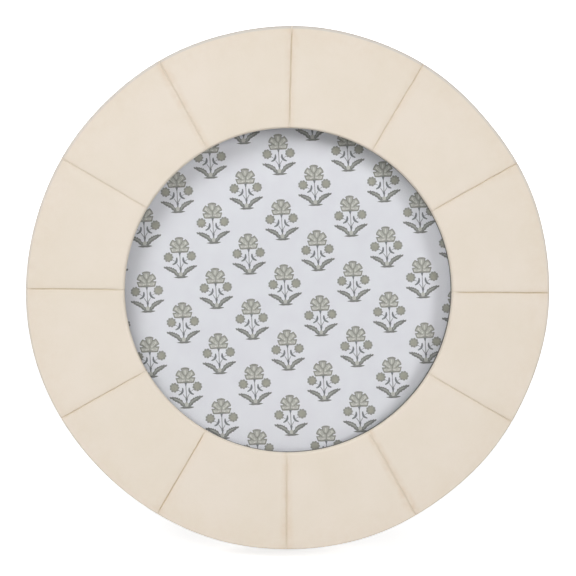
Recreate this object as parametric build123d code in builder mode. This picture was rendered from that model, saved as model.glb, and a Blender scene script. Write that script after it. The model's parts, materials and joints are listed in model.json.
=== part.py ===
from build123d import *
import os
from math import cos, radians, sin

# Round tabletop photo frame. It leans back on a fold-out easel leg, on a table at z = 0.
# +X is to the viewer's right, the face looks towards -Y and +Z is up. Millimetres and degrees.

# Overall form: the card sets the opening, and the width of the face the outside
card_diameter = 101.6
sight_overlap = 3.175
face_width = 28.575
lean_angle = 15.0
easel_angle = 24.0
overrun = 5.0

# Segmented covering of resin tiles on the face and strips round the rim
segment_count = 12
tile_thickness = 3.0
strip_thickness = 1.8
seam_width = 0.4
seam_recess = 0.15
rim_front_rounding = 0.9
opening_rounding = 0.7
rim_back_rounding = 0.4

# Pieces held in the rebate, from the glass backwards
glass_thickness = 2.0
card_thickness = 0.4
board_thickness = 3.0
panel_thickness = 3.0
panel_lining_thickness = 0.5
glass_margin = 0.7
board_margin = 0.4
panel_margin = 0.95
lining_inset = 0.25
glass_seaming = 0.2

# Core ring
lip_thickness = 2.6
lip_setback = 0.3
rebate_clearance = 0.5
back_lining_thickness = 0.6
back_lining_rim_margin = 1.2
back_lining_rebate_margin = 0.8

# Turn buttons, on the diagonals
button_count = 4
button_length = 19.0
button_width = 8.0
button_thickness = 0.8
screw_edge_distance = 5.75
button_start_angle = 45.0
button_pivot_share = 0.25
button_panel_gap = 0.05
screw_shank_diameter = 2.8
screw_length = 7.0
screw_point_length = 1.6
screw_head_diameter = 5.6
screw_head_height = 1.5
screw_head_rounding = 0.8
screw_slot_width = 0.7
screw_slot_length = 3.2
screw_slot_depth = 0.8
running_clearance = 0.05

# Easel hinge
hinge_height = 22.0
hinge_width = 24.0
leaf_length = 14.0
leaf_thickness = 0.8
leaf_corner_radius = 2.0
leaf_clearance = 0.2
pin_diameter = 1.8
pin_overhang = 0.6
pin_end_chamfer = 0.3
centre_knuckle_width = 9.0
knuckle_gap = 0.2
rivet_spacing = 14.0
rivet_offset = 9.0
rivet_shank_diameter = 2.2
rivet_head_diameter = 4.6
rivet_head_height = 0.8
rivet_head_rounding = 0.5

# Easel leg
leg_thickness = 3.0
leg_top_width = 32.0
leg_foot_width = 38.0
leg_lining_thickness = 0.5
leg_top_corner_radius = 1.0
leg_foot_corner_radius = 2.0
leg_notch_clearance = 0.6
heel_clearance = 0.1

# Worked-out radii and levels, counted forwards from the back of the core ring
card_radius = card_diameter / 2
opening_radius = card_radius - sight_overlap
outer_radius = opening_radius + face_width
core_radius = outer_radius - strip_thickness
lip_radius = opening_radius + lip_setback
glass_radius = card_radius + glass_margin
board_radius = card_radius + board_margin
panel_radius = card_radius + panel_margin
rebate_radius = panel_radius + rebate_clearance
screw_circle_radius = rebate_radius + screw_edge_distance
panel_back_level = button_panel_gap - back_lining_thickness
panel_level = panel_back_level + panel_lining_thickness
board_level = panel_level + panel_thickness
card_level = board_level + board_thickness
glass_level = card_level + card_thickness
rebate_depth = glass_level + glass_thickness
core_thickness = rebate_depth + lip_thickness
total_thickness = core_thickness + tile_thickness
sector_angle = 360 / segment_count

# Hinge geometry: the pin stands this far behind the panel's lining
pin_radius = pin_diameter / 2
bore_radius = pin_radius + running_clearance
knuckle_radius = bore_radius + leaf_thickness
pin_standoff = knuckle_radius + leaf_clearance
pin_level = panel_back_level - pin_standoff
rivet_hole_radius = rivet_shank_diameter / 2 + running_clearance

# The rim's rounded back edge rests on the table, and so does the foot of the leg.
lean = radians(lean_angle)
leg_lean = radians(lean_angle - easel_angle)
axis_height = (
    (outer_radius - rim_back_rounding) * cos(lean) - rim_back_rounding * sin(lean) + rim_back_rounding
)
pin_height = axis_height + hinge_height * cos(lean) + pin_level * sin(lean)

# Levels of the leg, counted from the pin towards the panel
leg_inner_level = knuckle_radius - leaf_thickness
leg_outer_level = leg_inner_level - leg_thickness
leg_back_level = leg_outer_level - leg_lining_thickness
leg_reach = (pin_height + leg_back_level * sin(leg_lean)) / cos(leg_lean)
heel_length = (pin_standoff - heel_clearance - leg_inner_level * cos(leg_lean - lean)) / sin(lean - leg_lean)

# The origin is under the middle of the standing frame, between its foremost edge and its foot.
front_reach = (
    (outer_radius - rim_front_rounding) * sin(lean)
    + (total_thickness - rim_front_rounding) * cos(lean)
    + rim_front_rounding
)
pin_setback = hinge_height * sin(lean) - pin_level * cos(lean)
foot_setback = pin_setback - leg_back_level * cos(leg_lean) - leg_reach * sin(leg_lean)
axis_setback = (front_reach - foot_setback) / 2

face_plane = Plane(
    origin=(0, axis_setback, axis_height),
    x_dir=(1, 0, 0),
    z_dir=(0, -cos(lean), sin(lean)),
)
ring_axis = Axis(face_plane.origin, face_plane.z_dir)
section_plane = Plane(origin=face_plane.origin, x_dir=(1, 0, 0), z_dir=-face_plane.y_dir)
leg_plane = Plane(
    origin=(0, axis_setback + pin_setback, pin_height),
    x_dir=(1, 0, 0),
    z_dir=(0, -cos(leg_lean), sin(leg_lean)),
)


def level(height):
    """Plane parallel to the face, a height in front of the core ring's back."""
    return face_plane.offset(height)


def leg_level(height):
    """Plane parallel to the leg, a height from the pin towards the panel."""
    return leg_plane.offset(height)


def ring_section(inner_radius, ring_radius, back, front):
    """Rectangular section of a ring, between two radii and two levels."""
    with Locations((inner_radius, back)):
        Rectangle(ring_radius - inner_radius, front - back, align=Align.MIN)


def covering_section(inset):
    """Section of the whole resin covering, its visible faces moved inwards by an inset."""
    shrunk_radius = outer_radius - inset
    front = total_thickness - inset
    ring_section(core_radius, shrunk_radius, 0, core_thickness)
    ring_section(opening_radius + inset, shrunk_radius, core_thickness, front)
    fillet(vertices().group_by(Axis.Y)[-1].sort_by(Axis.X)[0], opening_rounding - inset)
    fillet(vertices().group_by(Axis.Y)[-1].sort_by(Axis.X)[-1], rim_front_rounding - inset)
    fillet(vertices().group_by(Axis.Y)[0].sort_by(Axis.X)[-1], rim_back_rounding - inset)


def segment_wedge(index):
    """Wedge over one segment of the ring, half a seam short of the lines of its seams."""
    half_angle = radians(sector_angle / 2)
    middle_angle = radians((index + 0.5) * sector_angle)
    apex_radius = seam_width / 2 / sin(half_angle)
    apex = (apex_radius * cos(middle_angle), apex_radius * sin(middle_angle))
    sides = [middle_angle - half_angle, middle_angle + half_angle]
    reach = 2 * outer_radius
    ends = [(apex[0] + reach * cos(side), apex[1] + reach * sin(side)) for side in sides]
    Polygon(apex, *ends, align=None)


def pin_side_plane(base_plane):
    """Plane across the pin: its x runs up the base plane, its y towards the panel."""
    return Plane(origin=leg_plane.origin, x_dir=base_plane.y_dir, z_dir=(1, 0, 0))


os.makedirs("parts", exist_ok=True)

# Core ring of wood fibre board, with the rebate at its back and four pilot holes
with BuildPart() as ring_core:
    with BuildSketch(section_plane):
        ring_section(rebate_radius, core_radius, 0, rebate_depth)
        ring_section(lip_radius, core_radius, rebate_depth, core_thickness)
    revolve(axis=ring_axis)
    with BuildSketch(level(0)):
        with PolarLocations(screw_circle_radius, button_count, button_start_angle):
            Circle(screw_shank_diameter / 2)
    extrude(amount=screw_length, mode=Mode.SUBTRACT)
ring_core.part.label = "ring_core"
export_step(ring_core.part, "parts/ring_core.step")

# Face tiles and rim strips: one of each in every segment, numbered from the right, anticlockwise
for segment in range(segment_count):
    with BuildPart() as face_tile:
        with BuildSketch(section_plane):
            covering_section(0)
        revolve(axis=ring_axis)
        with BuildSketch(level(core_thickness)):
            segment_wedge(segment)
        extrude(amount=tile_thickness, mode=Mode.INTERSECT)
    face_tile.part.label = f"face_tile_{segment + 1:02d}"
    export_step(face_tile.part, f"parts/{face_tile.part.label}.step")

    with BuildPart() as edge_strip:
        with BuildSketch(section_plane):
            covering_section(0)
        revolve(axis=ring_axis)
        with BuildSketch(level(0)):
            segment_wedge(segment)
        extrude(amount=core_thickness, mode=Mode.INTERSECT)
    edge_strip.part.label = f"edge_strip_{segment + 1:02d}"
    export_step(edge_strip.part, f"parts/{edge_strip.part.label}.step")

# Filler in the seams, slightly below the covering
with BuildPart() as seam_filler:
    with BuildSketch(section_plane):
        covering_section(seam_recess)
    revolve(axis=ring_axis)
    with BuildSketch(level(0)):
        with PolarLocations((opening_radius + outer_radius) / 2, segment_count):
            Rectangle(outer_radius - opening_radius, seam_width)
    extrude(amount=total_thickness, mode=Mode.INTERSECT)
seam_filler.part.label = "seam_filler"
export_step(seam_filler.part, "parts/seam_filler.step")

# Lining glued on the back of the core ring
with BuildPart() as back_lining:
    with BuildSketch(level(-back_lining_thickness)):
        Circle(outer_radius - back_lining_rim_margin)
        Circle(rebate_radius + back_lining_rebate_margin, mode=Mode.SUBTRACT)
        with PolarLocations(screw_circle_radius, button_count, button_start_angle):
            Circle(screw_shank_diameter / 2 + running_clearance, mode=Mode.SUBTRACT)
    extrude(amount=back_lining_thickness)
back_lining.part.label = "back_lining"
export_step(back_lining.part, "parts/back_lining.step")

# Glass, with its cut edges seamed
with BuildPart() as glass_pane:
    with BuildSketch(level(glass_level)):
        Circle(glass_radius)
    extrude(amount=glass_thickness)
    chamfer(glass_pane.edges().filter_by(GeomType.CIRCLE), glass_seaming)
glass_pane.part.label = "glass_pane"
export_step(glass_pane.part, "parts/glass_pane.step")

# Printed card
with BuildPart() as insert_card:
    with BuildSketch(level(card_level)):
        Circle(card_radius)
    extrude(amount=card_thickness)
insert_card.part.label = "insert_card"
export_step(insert_card.part, "parts/insert_card.step")

# Filler board behind the card
with BuildPart() as filler_board:
    with BuildSketch(level(board_level)):
        Circle(board_radius)
    extrude(amount=board_thickness)
filler_board.part.label = "filler_board"
export_step(filler_board.part, "parts/filler_board.step")

# Back panel and its lining, both with holes for the upper leaf's rivets
with BuildPart() as back_panel:
    with BuildSketch(level(panel_level)):
        Circle(panel_radius)
        with Locations((0, hinge_height + rivet_offset)):
            with GridLocations(rivet_spacing, 0, 2, 1):
                Circle(rivet_hole_radius, mode=Mode.SUBTRACT)
    extrude(amount=panel_thickness)
back_panel.part.label = "back_panel"
export_step(back_panel.part, "parts/back_panel.step")

with BuildPart() as panel_lining:
    with BuildSketch(level(panel_back_level)):
        Circle(panel_radius - lining_inset)
        with Locations((0, hinge_height + rivet_offset)):
            with GridLocations(rivet_spacing, 0, 2, 1):
                Circle(rivet_hole_radius, mode=Mode.SUBTRACT)
    extrude(amount=panel_lining_thickness)
panel_lining.part.label = "panel_lining"
export_step(panel_lining.part, "parts/panel_lining.step")

# Turn buttons: each reaches inwards from its screw, over the panel's edge
button_level = -back_lining_thickness - button_thickness
for index in range(button_count):
    turn_angle = button_start_angle + index * 360 / button_count
    button_plane = level(button_level) * Location((0, 0, 0), (0, 0, turn_angle))
    with BuildPart() as turn_button:
        with BuildSketch(button_plane):
            with Locations((screw_circle_radius + (button_pivot_share - 0.5) * button_length, 0)):
                SlotOverall(button_length, button_width)
            with Locations((screw_circle_radius, 0)):
                Circle(screw_shank_diameter / 2 + running_clearance, mode=Mode.SUBTRACT)
        extrude(amount=button_thickness)
    turn_button.part.label = f"turn_button_{index + 1}"
    export_step(turn_button.part, f"parts/{turn_button.part.label}.step")

# Pan-head screws that hold the buttons, one group of four
screw_head_level = button_level - screw_head_height
with BuildPart() as button_screws:
    with BuildSketch(level(screw_head_level)):
        with PolarLocations(screw_circle_radius, button_count, button_start_angle):
            Circle(screw_head_diameter / 2)
    extrude(amount=screw_head_height)
    head_rims = button_screws.edges().filter_by(GeomType.CIRCLE).group_by(ring_axis)[0]
    fillet(head_rims, screw_head_rounding)
    with BuildSketch(level(button_level)):
        with PolarLocations(screw_circle_radius, button_count, button_start_angle):
            Circle(screw_shank_diameter / 2)
    extrude(amount=screw_length - button_level)
    shank_ends = button_screws.edges().filter_by(GeomType.CIRCLE).group_by(ring_axis)[-1]
    chamfer(shank_ends, screw_point_length, screw_shank_diameter / 2 - running_clearance)
    with BuildSketch(level(screw_head_level)):
        with PolarLocations(screw_circle_radius, button_count, button_start_angle):
            Rectangle(screw_slot_length, screw_slot_width)
            Rectangle(screw_slot_width, screw_slot_length)
    extrude(amount=screw_slot_depth, mode=Mode.SUBTRACT)
button_screws.part.label = "button_screws"
export_step(button_screws.part, "parts/button_screws.step")

# Upper hinge leaf, riveted to the panel, with the two outer knuckles
notch_height = knuckle_radius + knuckle_gap
with BuildPart() as panel_hinge_leaf:
    with BuildSketch(pin_side_plane(face_plane)):
        Circle(knuckle_radius)
        with Locations((0, pin_standoff - leaf_thickness)):
            Rectangle(leaf_length, leaf_thickness, align=Align.MIN)
        Circle(bore_radius, mode=Mode.SUBTRACT)
    extrude(amount=hinge_width / 2, both=True)
    cross_edges = panel_hinge_leaf.edges().filter_by(ring_axis)
    fillet(cross_edges.group_by(Axis(face_plane.origin, face_plane.y_dir))[-1], leaf_corner_radius)
    with BuildSketch(level(pin_level)):
        with Locations((0, hinge_height + notch_height - overrun)):
            Rectangle(centre_knuckle_width + 2 * knuckle_gap, 2 * overrun)
    extrude(amount=pin_standoff, both=True, mode=Mode.SUBTRACT)
    with BuildSketch(level(pin_level)):
        with Locations((0, hinge_height + rivet_offset)):
            with GridLocations(rivet_spacing, 0, 2, 1):
                Circle(rivet_hole_radius)
    extrude(amount=pin_standoff, mode=Mode.SUBTRACT)
panel_hinge_leaf.part.label = "panel_hinge_leaf"
export_step(panel_hinge_leaf.part, "parts/panel_hinge_leaf.step")

# Lower hinge leaf, riveted to the leg, with the middle knuckle
side_notch_width = (hinge_width - centre_knuckle_width) / 2
with BuildPart() as leg_hinge_leaf:
    with BuildSketch(pin_side_plane(leg_plane)):
        Circle(knuckle_radius)
        with Locations((0, leg_inner_level)):
            Rectangle(leaf_length, leaf_thickness, align=(Align.MAX, Align.MIN))
        Circle(bore_radius, mode=Mode.SUBTRACT)
    extrude(amount=hinge_width / 2, both=True)
    cross_edges = leg_hinge_leaf.edges().filter_by(Axis(leg_plane.origin, leg_plane.z_dir))
    fillet(cross_edges.group_by(Axis(leg_plane.origin, leg_plane.y_dir))[0], leaf_corner_radius)
    with BuildSketch(leg_level(0)):
        with Locations((0, overrun - notch_height)):
            with GridLocations(hinge_width + centre_knuckle_width, 0, 2, 1):
                Rectangle(hinge_width, 2 * overrun)
    extrude(amount=pin_standoff, both=True, mode=Mode.SUBTRACT)
    with BuildSketch(leg_level(0)):
        with Locations((0, -rivet_offset)):
            with GridLocations(rivet_spacing, 0, 2, 1):
                Circle(rivet_hole_radius)
    extrude(amount=pin_standoff, mode=Mode.SUBTRACT)
leg_hinge_leaf.part.label = "leg_hinge_leaf"
export_step(leg_hinge_leaf.part, "parts/leg_hinge_leaf.step")

# Hinge pin
pin_length = hinge_width + 2 * pin_overhang
with BuildPart() as hinge_pin:
    with BuildSketch(pin_side_plane(face_plane)):
        Circle(pin_radius)
    extrude(amount=pin_length / 2, both=True)
    chamfer(hinge_pin.edges().filter_by(GeomType.CIRCLE), pin_end_chamfer)
hinge_pin.part.label = "hinge_pin"
export_step(hinge_pin.part, "parts/hinge_pin.step")

# Rivets of the two leaves: heads on the outer side, shanks through to the last board's far face
rivet_rows = {
    "panel_rivets": (face_plane, hinge_height + rivet_offset, panel_back_level - leaf_thickness, board_level),
    "leg_rivets": (leg_plane, -rivet_offset, leg_back_level, knuckle_radius),
}
for rivet_name, (rivet_plane, rivet_height, head_base, shank_end) in rivet_rows.items():
    with BuildPart() as rivets:
        with BuildSketch(rivet_plane.offset(head_base - rivet_head_height)):
            with Locations((0, rivet_height)):
                with GridLocations(rivet_spacing, 0, 2, 1):
                    Circle(rivet_head_diameter / 2)
        extrude(amount=rivet_head_height)
        rims = rivets.edges().filter_by(GeomType.CIRCLE)
        fillet(rims.group_by(Axis(rivet_plane.origin, rivet_plane.z_dir))[0], rivet_head_rounding)
        with BuildSketch(rivet_plane.offset(head_base)):
            with Locations((0, rivet_height)):
                with GridLocations(rivet_spacing, 0, 2, 1):
                    Circle(rivet_shank_diameter / 2)
        extrude(amount=shank_end - head_base)
    rivets.part.label = rivet_name
    export_step(rivets.part, f"parts/{rivet_name}.step")


def leg_outline():
    """Tapered outline with a notch for the hinge; its ends above the pin are the heel."""
    half_top = leg_top_width / 2
    half_foot = leg_foot_width / 2
    Polygon(
        (-half_top, heel_length),
        (-half_foot, -leg_reach),
        (half_foot, -leg_reach),
        (half_top, heel_length),
        align=None,
    )
    fillet(vertices().group_by(Axis.Y)[0], leg_foot_corner_radius)
    fillet(vertices().group_by(Axis.Y)[-1], leg_top_corner_radius)
    with Locations((0, -knuckle_radius - leg_notch_clearance)):
        Rectangle(
            pin_length + 2 * leg_notch_clearance,
            overrun + leg_reach,
            align=(Align.CENTER, Align.MIN),
            mode=Mode.SUBTRACT,
        )
    with Locations((0, -rivet_offset)):
        with GridLocations(rivet_spacing, 0, 2, 1):
            Circle(rivet_hole_radius, mode=Mode.SUBTRACT)


# Leg board and its lining, both cut flat where the foot stands on the table
with BuildPart() as easel_leg:
    with BuildSketch(leg_level(leg_outer_level)):
        leg_outline()
    extrude(amount=leg_thickness)
    split(bisect_by=Plane.XY)
easel_leg.part.label = "easel_leg"
export_step(easel_leg.part, "parts/easel_leg.step")

with BuildPart() as leg_lining:
    with BuildSketch(leg_level(leg_back_level)):
        leg_outline()
    extrude(amount=leg_lining_thickness)
    split(bisect_by=Plane.XY)
leg_lining.part.label = "leg_lining"
export_step(leg_lining.part, "parts/leg_lining.step")
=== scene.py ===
import json
from math import atan2, cos, exp, hypot, pi, radians, sin, sqrt

import bmesh
import bpy
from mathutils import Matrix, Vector, noise
from mathutils.geometry import delaunay_2d_cdt


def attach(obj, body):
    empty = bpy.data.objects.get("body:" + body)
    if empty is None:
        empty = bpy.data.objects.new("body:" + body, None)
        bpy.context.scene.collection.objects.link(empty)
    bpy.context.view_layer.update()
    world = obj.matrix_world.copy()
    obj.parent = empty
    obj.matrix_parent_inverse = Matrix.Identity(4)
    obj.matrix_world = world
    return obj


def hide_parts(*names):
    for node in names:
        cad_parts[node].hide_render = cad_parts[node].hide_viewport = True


# Round tabletop photo frame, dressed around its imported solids. Lengths are in millimetres in the
# ring's own coordinates: u to the right, v up the face, w forwards from the back of the core ring.
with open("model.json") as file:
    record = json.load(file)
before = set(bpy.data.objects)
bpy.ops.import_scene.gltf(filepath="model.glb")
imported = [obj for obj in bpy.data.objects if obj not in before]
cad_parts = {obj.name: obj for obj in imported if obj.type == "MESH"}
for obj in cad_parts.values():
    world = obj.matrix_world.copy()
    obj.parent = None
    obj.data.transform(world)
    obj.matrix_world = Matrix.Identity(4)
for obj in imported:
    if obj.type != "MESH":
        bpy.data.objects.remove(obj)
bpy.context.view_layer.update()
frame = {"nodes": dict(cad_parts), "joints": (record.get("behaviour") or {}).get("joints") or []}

MM = 0.001
nodes = frame["nodes"]
button_joints = [joint for joint in frame["joints"] if joint["name"].startswith("button_")]
front = Vector(button_joints[0]["axis"]).normalized()
right = Vector((1, 0, 0))
upward = front.cross(right)
# The ring's middle, first at the level of the turn buttons and then at the back of the core ring
ring_centre = sum((Vector(joint["pos_m"]) for joint in button_joints), Vector()) / len(button_joints)


def reach(node):
    """Lowest and highest level, least and greatest radius of a node, in millimetres."""
    offsets = [(vertex.co - ring_centre) / MM for vertex in nodes[node].data.vertices]
    levels = [offset.dot(front) for offset in offsets]
    radii = [(offset - front * offset.dot(front)).length for offset in offsets]
    return min(levels), max(levels), min(radii), max(radii)


def at(u, v, w):
    """World position of a point given in the ring's own coordinates."""
    return ring_centre + (right * u + upward * v + front * w) * MM


ring_centre += front * reach("ring_core")[0] * MM
core_back, _, lip_radius, core_radius = reach("ring_core")
tile_back, tile_front, opening_radius, outer_radius = reach("face_tile_01")
card_back, card_front, _, card_radius = reach("insert_card")
middle_radius = (opening_radius + outer_radius) / 2

# Roundings of the covering's edges; the rim's front and the opening's change round the ring
rim_front_rounding = 0.50
rim_sharpness = 0.4
opening_rounding = 1.0
opening_sharpness = 0.4
rim_back_rounding = 0.4
seam_side_rounding = 0.14
joint_rounding = 0.07

# Seams: straight lines that meet a little off the middle, each with a drift at its two ends
seam_count = 12
seam_gap = 0.36
seam_turn = -0.55
seam_shift = (0.26, -0.97)
seam_inner_drifts = (0.07, -0.24, -0.15, 0.31, 0.21, 0.17, 0.06, -0.19, -0.14, -0.17, 0.25, -0.03)
seam_outer_drifts = (0.23, -0.26, -0.21, -0.22, 0.02, 0.18, 0.03, -0.31, 0.01, 0.08, 0.10, 0.21)
seam_recesses = (0.20, 0.16, 0.15, 0.16, 0.07, 0.08, 0.18, 0.18, 0.20, 0.12, 0.07, 0.12)
seam_inner_tones = (0.78, 0.52, 0.50, 0.46, 0.18, 0.26, 0.68, 0.54, 0.78, 0.38, 0.22, 0.38)
seam_outer_tones = (0.94, 0.72, 0.64, 0.86, 0.26, 0.31, 0.76, 0.68, 0.94, 0.54, 0.33, 0.52)
seam_stains = (0.15, 0.25, 0.30, 0.42, 0.55, 0.10, 0.08, 0.22, 0.25, 0.55, 0.60, 0.20)
seam_inner_ends = (0.10, 0.30, 0.20, 0.08, 0.15, 0.15, 0.05, 0.05, 0.30, 0.30, 0.20, 0.20)
seam_outer_ends = (0.45, 1.00, 0.70, 0.00, 0.35, 0.30, 0.20, 0.60, 0.20, 0.10, 0.70, 0.70)
seam_fade_length = 2.0
seam_waver = 0.10
seam_waver_length = 5.0
# The filler: how much of its hollow stays at a smeared end and at the walls, the hollow's
# roughness and least depth, the filler's own depth, and the points across it
flush_share = 0.1
wall_hollow_share = 0.55
hollow_roughness = 0.5
least_recess = 0.012
filler_depth = 1.4
across_shares = (-1, -0.6, 0, 0.6, 1)

# The opening sits a little low
opening_shift = (0.12, -0.69)

# Waves of the hand-sanded outline: number round the rim, height and phase
outline_waves = (
    (2, 0.087, -111),
    (3, 0.073, 140),
    (4, 0.152, -12),
    (5, 0.058, 74),
    (6, 0.076, -88),
    (8, 0.038, -142),
    (11, 0.050, 100),
    (12, 0.044, 77),
)
# The outline is true where the ring stands, and over some degrees to either side
standing_angle = -90
standing_spread = 14
# Waves of the opening, the first of which only makes it smaller
opening_waves = ((0, -0.17, 0), (2, 0.19, 0), (4, 0.055, 0))
# How far the core's lip stays back from the opening: its edge shows at the right and at the bottom
lip_waves = ((0, 0.07, 0), (1, 0.25, -147))
lip_tolerance = 0.05

# Stains beside the seams, wear towards the rim, and a painted shade: a grey line along the rim's rounding,
# stronger towards the top
stain_width = 0.8
stain_overrun = 1.0
strip_stain = 0.8
worn_from = 66.0
rim_wear = 0.20
# Painted shade on the rim's rounding: its strength and its growth towards the top, then how far in from
# the rim it begins
rim_shade_strength = (0.30, 0.30)
handled_beyond = 1.5

# Unevenness of the tiles' faces
tile_unevenness = 0.03
tile_waviness = 18.0
tile_lift = 0.03

# Steps through the noise, from one piece to the next and along it, so that no two look alike
waver_seed = (7.1, 0.3)
lift_seed = (3.7, 0.5)
unevenness_seed = 9.0
hollow_seed = (0.31, 5.3, 1.7)
ink_seed = (0.8, 50)

# Fineness of the covering: steps across a tile, round its edges, down a strip and along a seam
tile_steps = 18
edge_steps = 5
rim_edge_steps = 6
long_edge_steps = 3
joint_edge_steps = 2
strip_steps = 5
seam_steps = 22
seam_side_steps = 9
# Rounds in which a point's angle and radius settle, and digits to which points are told apart
settling_rounds = 4
filler_settling_rounds = 3
weld_digits = 5

# The inks of the print in 8-bit display values, each where it lies thin and where it lies full
inks = {
    "outline": ((150, 149, 142), (122, 121, 113)),
    "petal": ((178, 177, 171), (160, 159, 152)),
    "pale": ((215, 214, 209), (200, 198, 191)),
    "mound": ((194, 193, 188), (177, 176, 170)),
    "curl": ((119, 122, 126), (97, 100, 104)),
    "bloom": ((166, 163, 150), (146, 145, 132)),
    "bloom_edge": ((148, 147, 141), (129, 128, 123)),
    "stem": ((158, 157, 160), (134, 134, 137)),
    "leaf": ((124, 124, 121), (100, 100, 97)),
    "rib": ((160, 160, 155), (140, 140, 135)),
}


# Materials


class Tree:
    """An emptied node tree, with short calls for its nodes and links."""

    def __init__(self, owner):
        owner.use_nodes = True
        self.tree = owner.node_tree
        self.tree.nodes.clear()

    def link(self, source, target):
        self.tree.links.new(source, target)

    def add(self, kind, feeds=None, **settings):
        """A new node with some settings, and with a value or another node's output at its inputs."""
        node = self.tree.nodes.new(kind)
        for key, value in settings.items():
            setattr(node, key, value)
        for socket, value in (feeds or {}).items():
            if isinstance(value, bpy.types.NodeSocket):
                self.link(value, node.inputs[socket])
            else:
                node.inputs[socket].default_value = value
        return node

    def math(self, operation, first, second):
        return self.add("ShaderNodeMath", {0: first, 1: second}, operation=operation).outputs["Value"]

    def spread(self, source, low, high, out_low=0.0, out_high=1.0):
        """A value between two limits, mapped onto two others and held there."""
        feeds = {"Value": source, "From Min": low, "From Max": high, "To Min": out_low, "To Max": out_high}
        return self.add("ShaderNodeMapRange", feeds).outputs["Result"]

    def blend(self, factor, first, second):
        """Mix of two shaders."""
        return self.add("ShaderNodeMixShader", {0: factor, 1: first, 2: second}).outputs["Shader"]

    def seen_rays(self):
        """1 for rays from the camera, from gloss and through glass; 0 for those that light things."""
        path = self.add("ShaderNodeLightPath")
        seen = path.outputs["Is Camera Ray"]
        for name in ("Is Glossy Ray", "Is Transmission Ray"):
            seen = self.math("MAXIMUM", seen, path.outputs[name])
        return seen


class Shader(Tree):
    """A material with one Principled shader, and short calls for the nodes that feed it."""

    def __init__(self, name, values):
        self.material = bpy.data.materials.new(name)
        super().__init__(self.material)
        self.surface = self.add("ShaderNodeBsdfPrincipled", values)
        self.output = self.add("ShaderNodeOutputMaterial", {"Surface": self.surface.outputs["BSDF"]})
        self.place = self.add("ShaderNodeTexCoord").outputs["Object"]

    def feed(self, socket, source):
        self.link(source, self.surface.inputs[socket])

    def noise(self, size, detail=3.0, roughness=0.5, distortion=0.0, scales=None):
        """Noise whose features measure about a size, in millimetres, over three factors if given."""
        place = self.place
        if scales:
            place = self.add("ShaderNodeMapping", {"Scale": scales, "Vector": place}).outputs["Vector"]
        feeds = {"Vector": place, "Scale": 1 / (size * MM), "Detail": detail}
        feeds.update({"Roughness": roughness, "Distortion": distortion})
        return self.add("ShaderNodeTexNoise", feeds).outputs["Fac"]

    def attribute(self, name):
        return self.add("ShaderNodeAttribute", attribute_name=name).outputs["Fac"]

    def mix(self, factor, first, second):
        """Mix of two colours, each a colour or a socket."""
        feeds = {"Factor": factor, 6: first, 7: second}
        return self.add("ShaderNodeMix", feeds, data_type="RGBA").outputs[2]

    def bump(self, height, depth, strength=1.0, under=None):
        """Bump of a depth in millimetres; chained over another with under."""
        feeds = {"Distance": depth * MM, "Strength": strength, "Height": height}
        if under is not None:
            feeds["Normal"] = under
        return self.add("ShaderNodeBump", feeds).outputs["Normal"]


def tone(red, green, blue):
    """Linear colour of one given in 8-bit display values."""
    shares = [value / 255 for value in (red, green, blue)]
    linear = [share / 12.92 if share <= 0.04045 else ((share + 0.055) / 1.055) ** 2.4 for share in shares]
    return (*linear, 1)


def resin_material():
    """Cream resin, hand sanded: faint mottling, specks, a tan stain beside the seams, and a grey painted
    shade on the rim's rounding.
    """
    shade, light, speck = tone(230, 219, 203), tone(233, 222, 208), tone(214, 199, 180)
    tan, handled_grey = tone(216, 192, 165), tone(198, 195, 192)
    shader = Shader("cream_resin", {"Roughness": 0.5})
    mottled = shader.mix(shader.spread(shader.noise(14, 4, 0.6), 0.35, 0.65), shade, light)
    grain = shader.spread(shader.noise(0.35, 3, 0.7), 0.3, 0.7)
    grained = shader.mix(shader.math("MULTIPLY", grain, 0.10), mottled, speck)
    stain_noise = shader.spread(shader.noise(2.4, 3, 0.6), 0.35, 0.7, 0.25, 1.0)
    stained = shader.mix(shader.math("MULTIPLY", shader.attribute("stain"), stain_noise), grained, tan)
    # Painted shade: a neutral grey over the rim's rounding, stronger towards the top
    shader.feed("Base Color", shader.mix(shader.attribute("handled"), stained, handled_grey))
    shader.feed("Roughness", shader.spread(shader.noise(0.9, 4, 0.6), 0.3, 0.7, 0.46, 0.60))
    sanding = shader.noise(0.16, 2, 0.6, 0.0, (1.0, 1.0, 0.35))
    soft = shader.bump(shader.noise(3.5, 3, 0.5), 0.012)
    shader.feed("Normal", shader.bump(sanding, 0.004, 0.6, soft))
    return shader.material


def filler_material():
    """Tan filler, dull and slightly grainy, as pale as the resin where it is smeared over."""
    shade, light, speck = tone(199, 178, 148), tone(215, 198, 170), tone(152, 130, 104)
    smeared = tone(232, 221, 205)
    shader = Shader("tan_filler", {"Roughness": 0.85})
    base = shader.mix(shader.spread(shader.noise(3.0, 4, 0.65), 0.3, 0.7), shade, light)
    grain = shader.spread(shader.noise(0.12, 2, 0.7), 0.35, 0.75)
    grained = shader.mix(shader.math("MULTIPLY", grain, 0.35), base, speck)
    shader.feed("Base Color", shader.mix(shader.attribute("pale"), grained, smeared))
    shader.feed("Roughness", shader.spread(grain, 0.0, 1.0, 0.75, 0.95))
    shader.feed("Normal", shader.bump(shader.noise(0.15, 3, 0.7), 0.02))
    return shader.material


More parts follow.
